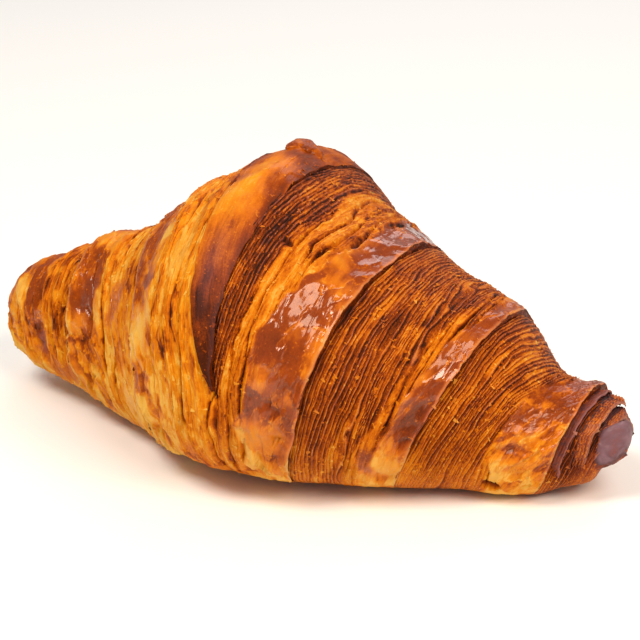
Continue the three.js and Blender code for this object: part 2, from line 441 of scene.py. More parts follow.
def stripPattern(arm, p, out, along, warp, fineEdge):
    # torn strips side by side, with a groove at either side of each
    seed = arm["seed"]
    phase = (out - fineEdge * 0.5) / p.coarsePitch + 0.3 * warp
    phase = phase + arm["slant"] * along / 30 + 0.4 * layered(along / 20, out / 4, seed + 6)
    number = np.floor(phase)
    part = phase - number
    own = softNoise(along / 13 + number * 9.1, number * 2.3 + 0.5, seed + 30)
    deep = softNoise(along / arm["grooveRun"] + number * 3.3, number * 1.7 + 0.5, seed + 31)
    groove = smooth(-0.6, 0.3, deep) * bell(np.minimum(part, 1 - part), 0.07)
    profile = part ** 0.6 * (1 + 0.5 * own) - 1.2 * groove - 0.3
    return SimpleNamespace(own=own, groove=groove, profile=profile)


def bandPatterns(arm, turns, across, width, along, bent, upward):
    # the patterns of a turn's crust: cut layers by its inner edge, then torn strips, then skin;
    # `bent` is how far the inner edge is pushed outward where the point hooks round,
    # `upward` runs from 0 at the underside to 1 at the top
    seed = arm["seed"]
    out = across + bent
    whole = width + bent
    p = SimpleNamespace(**{key: through(arm[key])(turns) for key in bandCurves})
    warp = 1.1 * softNoise(0.5, out / 2.1, seed + 5)
    for layersFar, long, wide, own in layerWarps:
        warp = warp + layersFar * softNoise(along / long, out / wide, seed + own)
    drift = 2.0 * softNoise(along / 16, out / 12, seed + 3)
    fineEdge = p.fineUntil * whole + drift
    coarseEdge = p.coarseUntil * whole + drift + 1.6 * layered(along / 5, out / 9, seed + 4)
    p.cut = smooth(0.5, -0.5, out - fineEdge) * (p.fineUntil > 0.02)
    p.torn = smooth(0.4, -0.4, out - coarseEdge) * (1 - p.cut)
    p.skin = 1 - p.cut - p.torn

    p.layer = leaves(out / p.finePitch + warp, along, seed + 20)
    p.half = leaves(2.6 * out / p.finePitch + 2 * warp, along, seed + 24)
    p.strand = leaves(out / 1.2 + 1.2 * warp, along, seed + 26)
    p.strip = stripPattern(arm, p, out, along, warp, fineEdge)

    for name, (long, wide, own, octaves) in bumps.items():
        setattr(p, name, layered(along / long, out / wide, seed + own, octaves))
    for name, (long, wide, own, starts, full, roughShare) in patches.items():
        noise = layered(along / long, out / wide, seed + own) + roughShare * p.rough
        setattr(p, name, smooth(starts, full, noise))
    p.plate = plates(along / 13 + 0.14 * p.rough, out / 5 + 0.25 * p.rough, seed + 51)
    p.scrap = plates(along / 2.6 + 0.3 * p.rough, out / 1.3, seed + 53)
    p.crinkle = plates(along / 5 + 0.35 * p.rough, out / 2.4 + 0.3 * p.rough, seed + 58)
    curve = 0.5 * softNoise(along / 14, out / 9, seed + 54)
    p.fold = folds(along / 7 + curve, out / 3.2 + curve, seed + 55)
    p.fold = p.fold + 0.35 * folds(along / 3 - curve, out / 1.5 + curve, seed + 56)
    p.crackLine = bell(p.plate.edge, 0.04)
    p.crinkleLine = bell(p.crinkle.edge, 0.05)
    p.crinkled = p.skin * smooth(0.75, 0.4, upward)
    p.crackled = p.skin * smooth(0.65, 0.3, upward) + (1 - arm["stripCut"]) * (p.torn + 0.6 * p.skin)
    p.crackled = p.crackled * bell(p.scrap.edge, 0.09)
    p.crackled = p.crackled * smooth(-0.4, 0.3, layered(along / 9, out / 5, seed + 83))

    p.patch = smooth(0.0, 0.3, layered(along / 11, out / 4, seed + 81) + 0.15 * p.fold)
    p.crease = np.where(turns < 0, np.exp(-np.maximum(across, 0) / 0.7), 0)
    p.raised = 0.25 + 0.75 * smooth(0.05, 0.4, upward)
    p.low = smooth(arm["lowBelow"], arm["lowBelow"] * 0.3, upward)
    p.fromLip = width - across
    return p


def bandRelief(arm, p, turns, across, width):
    # mm over the smooth roll
    by = standOut
    inner = np.maximum(turns, 0)
    under = np.where(turns < 0, bell(turns, roll["creaseTurn"]), 1)
    rise = through(arm["rise"])(turns + 1) * bell(p.fromLip, roll["lipWidth"])
    step = under * through(arm["drop"])(inner) * np.exp(-np.maximum(across, 0) / roll["stepWidth"])
    share = across / np.maximum(width, 0.01)
    hollow = under * through(arm["hollow"])(inner) * bell(share - through(arm["hollowAt"])(inner), 0.2)
    relief = p.raised * (rise - step) - hollow + by["swell"] * p.swell
    relief = relief - by["tucked"] * smooth(0, -shell["tuck"], across) - by["crease"] * p.crease
    cut = arm["fineHeight"] * p.layer.profile + by["halfLayer"] * p.half.profile + by["layerGrit"] * p.grit
    torn = arm["coarseHeight"] * p.strip.profile + by["strand"] * p.strand.profile + by["fibre"] * p.fibre
    torn = torn + by["stripGrit"] * p.grit + by["stripScrap"] * p.scrap.tilt
    torn = torn + (1 - arm["stripCut"]) * by["stripFold"] * p.fold
    skin = arm["lump"] * p.lump + arm["fold"] * p.fold + by["plate"] * p.plate.tilt
    skin = skin - by["crack"] * p.crackLine
    skin = skin + arm["pleated"] * arm["coarseHeight"] * p.strip.profile
    skin = skin + p.mealy * by["mealyScrap"] * p.scrap.tilt
    low = by["lowFold"] * p.fold + by["crinkle"] * p.crinkle.tilt + by["crinkleLine"] * p.crinkleLine
    relief = relief + p.cut * cut + p.torn * torn + p.skin * skin
    return relief + p.crinkled * low - by["crackle"] * p.crackled


def bandToastAndShade(arm, p, across):
    # how dark the crust is baked, from 0 to 1, with painted shade in the gaps, grooves, crease and under each
    # lip, and painted highlights on the crests
    by = baked
    # lighter crests of the cut layers are painted highlights
    cut = p.cutToast + by["layer"] * p.layer.own + by["halfCrest"] * p.half.crest + by["layerGrit"] * p.grit
    cut = cut + p.layer.crest * (by["layerCrest"] + by["layerCrestOwn"] * p.layer.own)
    # darker gaps between the cut layers are painted shade
    cut = cut + p.layer.gap * (by["gap"] + by["gapOwn"] * p.half.own) + by["halfGap"] * p.half.gap
    cut = cut + by["scorched"] * p.scorched + by["crumb"] * p.crumb * (1 - 0.6 * p.layer.gap)
    # darker grooves between the strips are painted shade
    torn = p.stripToast + by["strip"] * p.strip.own + by["groove"] * p.strip.groove + by["fibre"] * p.fibre
    torn = torn + by["stripGrit"] * p.grit + by["stripScrap"] * p.scrap.tone
    # lighter strand crests are painted highlights
    torn = torn + by["browned"] * p.browned + by["stripCrumb"] * p.crumb + by["strandCrest"] * p.strand.crest
    # darker gaps between the strands are painted shade
    torn = torn + by["strandGap"] * p.strand.gap * smooth(-0.3, 0.4, p.strand.own)
    mixed = by["torn"] * p.rough + by["tornScrap"] * p.scrap.tone + by["stripFold"] * p.fold
    torn = torn + (1 - arm["stripCut"]) * mixed
    skin = p.skinToast + by["lump"] * p.lump + by["plate"] * p.plate.tone + by["fold"] * p.fold
    skin = skin + by["crack"] * p.crackLine + by["nearLip"] * bell(p.fromLip, 3) - arm["patchy"] * p.patch
    # darker pleat grooves on the skin are painted shade
    skin = skin + arm["pleated"] * (by["pleatGroove"] * p.strip.groove + by["pleat"] * p.strip.own)
    mealy = by["mealyTorn"] * p.rough + by["mealyScrap"] * p.scrap.tone + by["mealyGrit"] * p.grit
    skin = np.minimum(skin + p.mealy * mealy, by["skinDarkest"])
    toast = p.cut * cut + p.torn * torn + p.skin * skin
    plain = p.cut * p.cutToast + p.torn * p.stripToast + p.skin * p.skinToast
    # painted shadow at the foot of the lip above, and painted shade in the crease
    toast = toast + by["step"] * p.raised * smooth(0.4, -0.6, across) + by["crease"] * p.crease
    paling = np.minimum(arm["lowPale"] + 0.2 * p.skin, 0.9) * p.low * (1 - 0.35 * p.cut)
    toast = toast - paling * (plain - by["lowest"] + 0.25 * (toast - plain))
    low = by["crinkle"] * p.crinkle.tone + by["lowFold"] * p.fold + by["crinkleLine"] * p.crinkleLine
    toast = toast + by["crackle"] * p.crackled + p.crinkled * low
    return toast - 0.5 * p.skin * np.maximum(toast - 0.6, 0)


def dressBand(arm, turns, across, width, along, bent, heightMm, upward):
    # height over the smooth roll and finish of the crust, with painted shade and highlights, over one arm's
    # turns
    p = bandPatterns(arm, turns, across, width, along, bent, upward)
    # painted highlight along the lip's edge: lighter, lilac and less glossy
    lipHighlight = bell(p.fromLip, 0.45)
    grounded = 0.2 + 0.8 * smooth(1, 12, heightMm)
    glaze = arm["gloss"] * p.skin * (1 - 0.5 * lipHighlight) * (0.85 + 0.3 * p.plate.tone - 0.35 * p.mealy)
    crumbs = 0.25 + p.cut + 0.8 * p.torn + 2.0 * bell(p.fromLip, 1.2)
    return {
        "rise": bandRelief(arm, p, turns, across, width) * grounded,
        "toast": bandToastAndShade(arm, p, across) + baked["lipHighlight"] * lipHighlight,
        "glaze": glaze * smooth(0.1, 0.45, upward),
        "cut": p.cut + arm["stripCut"] * p.torn + 0.3 * p.skin * p.mealy,
        "gold": p.gold + 0.2 * p.lump + 0.4 * p.low,
        # lilac on the lip and on the crests of the cut layers is painted highlight
        "ash": 0.3 * lipHighlight + 0.3 * p.cut * p.layer.crest * (0.4 + 0.6 * smooth(0, 0.7, p.layer.own)),
        "flaky": crumbs * (across > 0.5) * grounded,
    }


def makeMesh(name, points, faces, fields, place):
    # faces are rows of three or four corners; fields are one value to each point
    mesh = bpy.data.meshes.new(name)
    flat = points.reshape(-1, 3)
    mesh.vertices.add(len(flat))
    mesh.vertices.foreach_set("co", flat.ravel())
    corners = np.concatenate([f.ravel() for f in faces])
    sizes = np.concatenate([np.full(len(f), f.shape[1]) for f in faces])
    mesh.loops.add(len(corners))
    mesh.loops.foreach_set("vertex_index", corners)
    mesh.polygons.add(len(sizes))
    mesh.polygons.foreach_set("loop_start", np.concatenate([[0], np.cumsum(sizes)[:-1]]))
    mesh.polygons.foreach_set("use_smooth", np.ones(len(sizes), bool))
    mesh.update(calc_edges=True)
    for key, values in fields.items():
        layer = mesh.attributes.new(key, "FLOAT", "POINT")
        layer.data.foreach_set("value", np.broadcast_to(values, points.shape[:-1]).astype(float).ravel())
    rollMap = mesh.uv_layers.new(name="roll")
    rollMap.data.foreach_set("uv", place.reshape(-1, 2)[corners].ravel())
    piece = bpy.data.objects.new(name, mesh)
    scene.collection.objects.link(piece)
    return piece


def closeRing(name, ring, fields, place, top):
    # a closed body from columns of closed rings; `top` rows of each are the crust
    count, size = ring.shape[:2]
    index = np.arange(count * size).reshape(count, size)
    nextRow = np.roll(index, -1, axis=1)
    quads = np.stack([index[:-1], nextRow[:-1], nextRow[1:], index[1:]], -1).reshape(-1, 4)
    caps = []
    below = size - top
    for column, turned in ((index[0], True), (index[-1], False)):
        upper, lower = column[:top], column[top:][::-1]
        partner = np.minimum(np.arange(top) * below // top, below - 1)
        for j in range(top - 1):
            near, far = lower[partner[j]], lower[partner[j + 1]]
            corners = [(upper[j], upper[j + 1], near)]
            if near != far:
                corners.append((upper[j + 1], far, near))
            caps += [c if turned else c[::-1] for c in corners]
    faces = [quads, np.array(caps)]
    a, b, c = (ring.reshape(-1, 3)[quads[:, k]] for k in range(3))
    if np.einsum("ij,ij->", np.cross(b - a, c - a), a - ring.mean((0, 1))) < 0:
        faces = [f[:, ::-1] for f in faces]
    return makeMesh(name, ring, faces, fields, place)


def rollPlace(along, across):
    # where the points lie on the "roll" map, 100 mm to a unit
    return np.stack(np.broadcast_arrays(along, across), -1) / 100


def thicknessAt(x):
    return np.minimum(shell["under"], 0.3 * np.minimum(height(x), 2 * halfWidth(x)))


def thicken(x, angle, dress, along, across, sign):
    # closes a crust grid with a wall of cut layers at its edge and an underside
    wallPart = np.concatenate([[shell["wallStart"]], np.linspace(0, 1, shell["wallRows"])[1:]])
    wallTop = dress["rise"][:, -1:]
    wave = shell["wallWave"] * np.sin(9 * wallPart + along[:, -1:] / 3)
    wallX = x[:, -1:] - sign * (shell["wallLean"] * wallPart + wave * (wallPart < 1))
    wallRise = wallTop - wallPart * (wallTop + thicknessAt(x)[:, -1:])
    underPart = np.linspace(0, 1, shell["underRows"] + 1)[1:]
    underX = wallX[:, -1:] + (x[:, :1] - wallX[:, -1:]) * underPart
    ringX = np.concatenate([x, wallX, underX], 1)
    underRise = -thicknessAt(underX) - shell["underDeeper"]
    ringRise = np.concatenate([dress["rise"], wallRise, underRise], 1)
    points = crust(ringX, angle, ringRise)
    wallClear = np.broadcast_to(shell["thinnest"] * wallPart, wallX.shape)
    underClear = np.full(underX.shape, shell["thinnest"])
    clear = [shell["tuckedClear"] * smooth(0, -0.6, across), wallClear, underClear]
    points[..., 2] = np.maximum(points[..., 2], np.concatenate(clear, 1) * mm)
    extra = wallX.shape[1] + underX.shape[1]
    fields = {}
    for key, edgeValue in shell["wallDressAndShade"].items():
        ownValues = np.broadcast_to(dress[key], x.shape)
        fields[key] = np.concatenate([ownValues, np.full((len(x), extra), edgeValue)], 1)
    acrossBack = across[:, -1:] + np.arange(1, extra + 1) * shell["backRowWidth"]
    acrossAll = np.concatenate([across, acrossBack], 1)
    return points, fields, rollPlace(along, acrossAll)


def crustPiece(name, turns, x, dress, along, across, sign):
    # a dressed grid of crust made into a closed piece
    columns, rows = x.shape
    points, fields, place = thicken(x, angleOf(turns), dress, along, across, sign)
    print(name, columns, "by", rows, "points")
    return closeRing(name, points, fields, place, rows)


def alongRoll(turns, x):
    # mm travelled round the roll
    radius = meanRadius(x)
    steps = np.diff(turns[:, 0]) * 2 * np.pi * (radius[1:, 0] + radius[:-1, 0]) / 2
    return np.concatenate([[0], np.cumsum(steps)])[:, None] + 300 * turns[0, 0]


def sinceHalfTurn(degrees):
    # the same direction, from -180 to 180
    return (degrees + 180) % 360 - 180


def burnEnd(end, dress, x, degrees):
    # the last turn is burnt and lies back inside the leaves, and is tanned under them
    burnt = smooth(*end["burnt"], x)
    level = sinceHalfTurn(degrees)
    tanned = smooth(*end["tanned"], x) * smooth(*end["tannedBelow"], level)
    tanned = tanned * smooth(*end["tannedBehind"], level)
    dress["rise"] = dress["rise"] - end["sink"] * burnt
    dress["toast"] = dress["toast"] + burnt * end["burntToast"]
    dress["glaze"] = dress["glaze"] * (1 - burnt)
    dress["toast"] = dress["toast"] + (end["tanToast"] - dress["toast"]) * tanned * end["tanShare"]
    dress["ash"] = dress["ash"] + end["tanAsh"] * tanned


def addSpots(arm, dress, x, degrees, along, across):
    # pale, burnt or sunken places with ragged outlines; the darkest sunken ones are painted shade in a hole
    # and a pit
    radius = meanRadius(x)
    for spotX, spotDegrees, length, tall, toast, glaze, ash, sink in arm["spots"]:
        farRound = radius * np.radians(sinceHalfTurn(degrees - spotDegrees)) / tall
        far = (np.abs((x - spotX) / length) ** 3 + np.abs(farRound) ** 3) ** (1 / 3)
        inside = smooth(1.5, 0.6, far + 0.5 * layered(along / 3, across / 2, arm["seed"] + 95))
        dress["rise"] = dress["rise"] - sink * inside
        for key, value in (("toast", toast), ("glaze", glaze), ("ash", ash)):
            dress[key] = dress[key] + (value - dress[key]) * inside * 0.8


def armPiece(name, arm, start, stop):
    # part of one arm, between two counts of turns
    sign = arm["sign"]
    middle = (start + stop) / 2
    spread = halfWidth(edgeAt(arm, np.array(max(middle, 0))))
    columns = int((stop - start) * 2 * np.pi * max(float(spread), 9) / shell["step"])
    turns = np.linspace(start, stop, columns)[:, None]
    inner = np.where(turns < 0, flapMiddle(turns), edgeAt(arm, turns))
    outer = edgeAt(arm, turns + 1)
    along = alongRoll(turns, (inner + outer) / 2)
    inner, outer = sign * inner, sign * outer
    ragged = shell["ragged"] * layered(along / 5, 0.5, arm["seed"] + 90, 3)
    outer = np.where(turns + 1 < arm["turns"], outer + ragged, outer)
    width = np.maximum(outer - inner, 0.3)
    rows = int(float(width.max() + shell["tuck"]) / shell["row"])
    across = -shell["tuck"] + (width + shell["tuck"]) * np.linspace(0, 1, rows)
    x = np.clip(sign * (inner + across), -roll["ends"][0], roll["ends"][1])
    straight = sign * np.where(turns < 0, roll["pointAt"], edgeAt(arm, turns, 0))
    heightMm = crust(x, angleOf(turns), 0)[..., 2] / mm
    upward = (heightMm - lift(x)) / np.maximum(height(x), 1)
    dress = dressBand(arm, turns, across, width, along, inner - straight, heightMm, upward)
    degrees = np.degrees(angleOf(turns))
    if arm["burntEnd"]:
        burnEnd(arm["burntEnd"], dress, x, degrees)
    dress["rise"] = dress["rise"] * smooth(0, 6, np.minimum(halfWidth(x), height(x)))
    addSpots(arm, dress, x, degrees, along, across)
    return crustPiece(name, turns, x, dress, along, across, sign)


def dressFlap(turns, share, x, along, width):
    # the smooth glazed skin of the dough's last point, dark towards its tip, with painted shade down its
    # right side and under the crest curl and a painted sheen across its middle
    seed = flap["seed"]
    across = width * share
    lump = layered(along / 9, across / 6, seed + 50, 2)
    rise = through(rightArm["rise"])(turns + 1) * bell(width - across, roll["lipWidth"])
    rise = rise + through(leftArm["rise"])(turns + 1) * bell(across, roll["lipWidth"])
    wrinkle = bell(softNoise(along / 14, across / 3, seed + 60), 0.1)
    plate = plates(along / 12 + 0.2 * lump, across / 5 + 0.2 * lump, seed + 51)
    fold = folds(along / 11 + 0.4 * lump, across / 4 + 0.4 * lump, seed + 55)
    fold = fold + 0.4 * folds(along / 4, across / 1.7, seed + 56)
    relief = rise + 0.2 + flap["lump"] * lump + flap["plate"] * plate.tilt + flap["fold"] * fold
    relief = relief - flap["wrinkle"] * wrinkle
    patch = smooth(0.1, 0.5, layered(along / 14, across / 4, seed + 57))
    streak = layered(along / 4, across / 0.9, seed + 58)
    by = flap["baked"]
    toast = through(flap["toast"])(turns) + by["lump"] * lump + by["plate"] * plate.tone
    toast = toast + by["fold"] * fold + by["patch"] * patch
    # painted shade down the flap's right side
    toast = toast + 0.16 * smooth(0.8, 1, share) * smooth(-0.66, -0.8, turns)
    toast = toast + 0.2 * smooth(0.5, 1, share) * smooth(-0.86, -0.93, turns)
    toast = toast + by["streak"] * streak
    # painted shadow under the crest curl
    curlShadowX, curlShadowDegrees, length, tall, curlShadowToast = flap["scorched"]
    farRound = (np.degrees(angleOf(turns)) + 360 - curlShadowDegrees) * flap["mmPerDegree"] / tall
    toast = toast + (curlShadowToast - toast) * bell(x - curlShadowX, length) * bell(farRound, 1)
    full = smooth(0, 2.5, width)
    # painted sheen, a soft salmon band across the flap's middle
    paintedSheen = bell(turns + 0.895, 0.035) * bell(share - 0.45, 0.3)
    return {
        "rise": relief * full + flap["thinPoint"] * (1 - full),
        "toast": np.minimum(toast, flap["darkest"]),
        "glaze": (0.28 + 0.2 * lump) * smooth(-0.87, -0.8, turns) * (1 - 0.9 * smooth(-0.81, -0.74, turns)),
        "cut": 0.6 - 0.4 * smooth(-0.95, -0.8, turns),
        "gold": flap["gold"] + 0.7 * smooth(-0.9, -0.8, turns) * smooth(1, 0.4, share),
        "ash": 0.12 * smooth(0.6, 1, share) * smooth(-0.8, -0.9, turns) + 0.25 * paintedSheen,
        "flaky": 0.1 + 0.15 * smooth(-0.9, -0.8, turns) + 1.2 * bell(width - across, 1.5),
    }


def flapPiece(name, start, stop):
    # the dough's last point, lying over the top of the roll
    columns = int((stop - start) * flap["girth"] / flap["step"])
    turns = np.linspace(start, stop, columns)[:, None]
    left, right = edgeAt(leftArm, turns + 1), edgeAt(rightArm, turns + 1)
    along = alongRoll(turns, (left + right) / 2)
    ragged = shell["ragged"] * smooth(-1, -0.96, turns)
    left = left + ragged * layered(along / 5, 0.5, flap["seed"], 3)
    right = right + ragged * layered(along / 5, 9.5, flap["seed"], 3)
    width = right - left
    share = np.linspace(0, 1, flap["rows"])
    x = left + width * share
    dress = dressFlap(turns, share, x, along, width)
    return crustPiece(name, turns, x, dress, along, width * share, 1)


leafSettings = [
    # edge: degrees round the roll and mm along it; lift: how far the edge stands off
    {
        "name": "endLeafOuter",
        "edge": [(-40, 70.8), (0, 73.2), (35, 76), (65, 78.4), (90, 80), (140, 81)],
        "lift": [(-40, -0.4), (20, 0.3), (80, 0.7), (140, 0.2)],
        "length": 7, "root": -1.6, "toast": 0.68, "ash": 0.25, "gold": 0.1, "fibres": 0.3, "seed": 3,
    },
    {
        "name": "endLeafMiddle",
        "edge": [(-30, 76.5), (0, 77.8), (22, 79.3), (45, 81), (62, 82.2), (80, 83.6), (90, 84.6), (140, 83)],
        "lift": [(-30, -0.4), (20, 0.2), (60, 0.5), (90, 1.0), (140, 0)],
        "length": 8, "root": -1.6, "toast": 0.52, "ash": 0.15, "gold": 0.6, "fibres": 1.3, "seed": 7,
    },
    {
        "name": "endLeafInner",
        "edge": [(-25, 78.2), (-5, 79.5), (8, 81.2), (28, 82.6), (45, 84.2), (70, 86.2), (90, 87), (120, 87)],
        "lift": [(-25, -0.8), (8, -0.3), (45, 0), (70, 0.3), (90, 1.3), (120, 0.9)],
        "length": 7, "root": -3, "toast": 0.5, "ash": 0.25, "gold": 0.4, "fibres": 1.2, "seed": 13,
    },
]


def leafPiece(leaf):
    # a thin burnt layer standing off the end of the roll
    columns, rows = 220, 56
    fibrePitch, thickest, farthest = 0.7, 0.55, 86.97
    low, high = leaf["edge"][0][0], leaf["edge"][-1][0]
    degrees = np.linspace(low, high, columns)[:, None]
    share = np.linspace(0, 1, rows)
    taper = smooth(low, low + 25, degrees) * smooth(high, high - 25, degrees)
    along = degrees / 8
    edge = through(leaf["edge"])(degrees) + 0.7 * layered(along / 2, 0.5, leaf["seed"]) * taper
    x = np.minimum(edge - leaf["length"] * (1 - share) * (0.3 + 0.7 * taper), farthest)
    lift = through(leaf["lift"])(degrees) - 1.2 * (1 - taper)
    wave = 0.35 * layered(along / 2.5, share * 2, leaf["seed"] + 1)
    rise = leaf["root"] + (lift - leaf["root"]) * share ** 1.6 + wave * taper * share
    thick = thickest * (0.5 + 0.5 * taper) * np.ones(rows)
    ringX = np.concatenate([x, x[:, ::-1] - 0.05], 1)
    ringRise = np.concatenate([rise, (rise - thick)[:, ::-1]], 1)
    cuts = leaves(share * leaf["length"] / fibrePitch, along * 4, leaf["seed"])
    ringRise[:, :rows] += 0.35 * leaf["fibres"] * cuts.profile * taper
    points = crust(ringX, np.radians(degrees), ringRise)
    both = np.concatenate([share, share[::-1]])
    grain = layered(along * 3, both * 7, leaf["seed"] + 2)
    edgeLight = bell(1 - both, 0.06) * taper
    fibre = leaves(both * leaf["length"] / fibrePitch + 0.6 * grain, along * 4, leaf["seed"])
    # darker towards the root, painted shade in the hollow under the leaf above
    toast = leaf["toast"] + 0.15 * grain - 0.25 * edgeLight + 0.5 * smooth(0.75, 0.45, both)
    fields = {
        # darker gaps between the fibres are painted shade, lighter crests painted highlights
        "toast": toast + leaf["fibres"] * (0.25 * fibre.gap - 0.2 * fibre.crest),
        "glaze": 0.15,
        "cut": 0.8,
        "gold": leaf["gold"] + 0.2 * grain,
        "ash": leaf["ash"] * (1 + 0.6 * grain) + 0.5 * edgeLight,
        "flaky": 0.5 * edgeLight,
    }
    place = rollPlace(along * 2, both * leaf["length"])
    return closeRing(leaf["name"], points, fields, place, rows)


onTheAxis = -99  # mm off the crust, so far in that the point lies on the roll's middle line

nubSettings = [
    # spine: mm along the roll, degrees round it, mm off the crust, half width and half height
    {
        "name": "coreKnob",
        "spine": [(74, -26, -5, 2.0, 2.2), (78, -16, -4.0, 2.3, 2.5), (82, 0, -2.2, 2.6, 3.3),
                  (84.2, 15, -0.8, 2.5, 4.0), (85.6, 24, 0.2, 1.9, 3.2), (86.5, 20, 0.9, 0.1, 0.1)],
        "columns": 110, "lump": 0.36, "grain": 0.5,
        "toast": 0.9, "ash": 1, "glaze": 0.1, "gold": 0.2, "seed": 17,
    },
    {
        "name": "leftNub",
        "spine": [(-70, 0, onTheAxis, 4.0, 4.5), (-76.4, 0, onTheAxis, 5.2, 5.6),
                  (-78.2, 0, onTheAxis, 4.4, 4.6), (-79.1, 0, onTheAxis, 2.8, 3.0),
                  (-79.5, 0, onTheAxis, 0.1, 0.1)],
        "columns": 90, "lump": 0.3, "grain": 0.3,
        "toast": 0.42, "ash": 0, "glaze": 0.4, "gold": 0.7, "seed": 31,
    },
    {
        "name": "crestCurl",
        "spine": [(7.0, 100, -0.3, 0.8, 0.3), (4.4, 102, 0.0, 2.6, 1.2), (2.2, 102, 0.3, 3.2, 1.5),
                  (0.2, 99, 0.5, 2.4, 1.3), (-1.0, 96, 0.8, 0.2, 0.2)],
        "columns": 60, "lump": 0.3, "grain": 0.2,
        "toast": 0.55, "ash": 0, "glaze": 0.2, "gold": 0.5, "seed": 23,
    },
]


def nubPiece(nub):
    # a rounded lump of dough grown along a short bent line
    columns, size = nub["columns"], 72
    knots = np.array([(*crust(np.array(a), math.radians(b), c) / mm, w, h) for a, b, c, w, h in nub["spine"]])
    steps = np.linalg.norm(np.diff(knots[:, :3], axis=0), axis=1)
    reach = np.concatenate([[0], np.cumsum(steps)]) / steps.sum()
    at = 0.5 - 0.5 * np.cos(np.linspace(0, math.pi, columns))
    line = np.stack([through(list(zip(reach, knots[:, k])))(at) for k in range(5)], 1)
    ahead = np.gradient(line[:, :3], axis=0)
    ahead /= np.linalg.norm(ahead, axis=1)[:, None]
    side = np.cross(ahead, (0, 0, 1))
    side /= np.linalg.norm(side, axis=1)[:, None]
    above = np.cross(side, ahead)
    ring = np.linspace(0, 2 * math.pi, size, endpoint=False)
    lobes = layered(at[:, None] * 5, 2 + 1.5 * np.cos(ring), nub["seed"])
    lobes = lobes + 0.35 * layered(at[:, None] * 16, 5 + 5 * np.cos(ring), nub["seed"] + 3)
    lobes = 1 + nub["lump"] * lobes * np.sin(math.pi * at[:, None])
    points = line[:, None, :3] + (side[:, None] * (line[:, 3:4] * np.cos(ring) * lobes)[..., None]
                                  + above[:, None] * (line[:, 4:5] * np.sin(ring) * lobes)[..., None])
    points[..., 2] = np.maximum(points[..., 2], 0)
    tone = layered(at[:, None] * 9, 3 + 3 * np.sin(ring), nub["seed"] + 5, 4)
    shaded = smooth(0, -0.8, np.sin(ring) + 0.5 * tone)
    outside = smooth(0.15, 0.5, at[:, None])
    fields = {
        "toast": nub["toast"] + nub["grain"] * tone - 0.2 * shaded,
        "glaze": nub["glaze"] + 0.1 * tone,
        "cut": 0.35,
        "gold": nub["gold"],
        "ash": nub["ash"] * (0.85 + nub["grain"] * tone) * outside * (1 - 0.75 * shaded),
        "flaky": 0,
    }
    place = rollPlace(at[:, None] * 12, ring * 4)
    return closeRing(nub["name"], points * mm, fields, place, size // 2)


def linear(colour):
    # a screen colour as the light it stands for
    values = [c / 12.92 if c <= 0.04045 else ((c + 0.055) / 1.055) ** 2.4 for c in colour]
    return (*values, 1)


crustFinish = {
    "amber": [(0, (0.82, 0.57, 0.24)), (0.22, (0.78, 0.44, 0.08)), (0.42, (0.70, 0.33, 0.03)),
              (0.6, (0.50, 0.19, 0.015)), (0.8, (0.26, 0.08, 0.015)), (1, (0.1, 0.035, 0.03))],
    "gold": [(0, (0.88, 0.67, 0.28)), (0.22, (0.85, 0.53, 0.06)), (0.42, (0.79, 0.42, 0.02)),
             (0.6, (0.58, 0.24, 0.01)), (0.8, (0.3, 0.1, 0.01)), (1, (0.12, 0.045, 0.03))],
    # lilac of ash, also the colour of painted sheen
    "ash": (0.5, 0.37, 0.41),
    "ashAndSheenShare": 0.9,
    "sheen": (1, 0.74, 0.5),
    "shine": 0.2,
    "wash": 0.85,
    "washRough": 0.09,
    "mottle": 0.16,
    "mottleScale": 130,
    "grain": 0.24,
    "grainScale": 1900,
    "grainOnCuts": 0.8,
    "grainOnSkin": 0.25,
    "fibre": 0.2,
    "fibreScale": (14, 260, 1),
    "roughCut": 0.55,
    "roughGlaze": 0.1,
    "speckAndGlint": 0.32,
    "speckScale": 1500,
    "speckRange": (0.17, 0.22),
    "bump": 0.7,
    "bumpOnCuts": 0.95,
    "bumpOnSkin": 0.06,
    "bumpHeight": 0.0004,
}


def wire(tree, made, **links):
    # sets or links a node's inputs by name
    for key, value in links.items():
        socket = made.inputs[int(key[1:])] if key[0] == "i" and key[1:].isdigit() else made.inputs[key]
        if isinstance(value, bpy.types.NodeSocket):
            tree.links.new(value, socket)
        else:
            socket.default_value = value
    return made


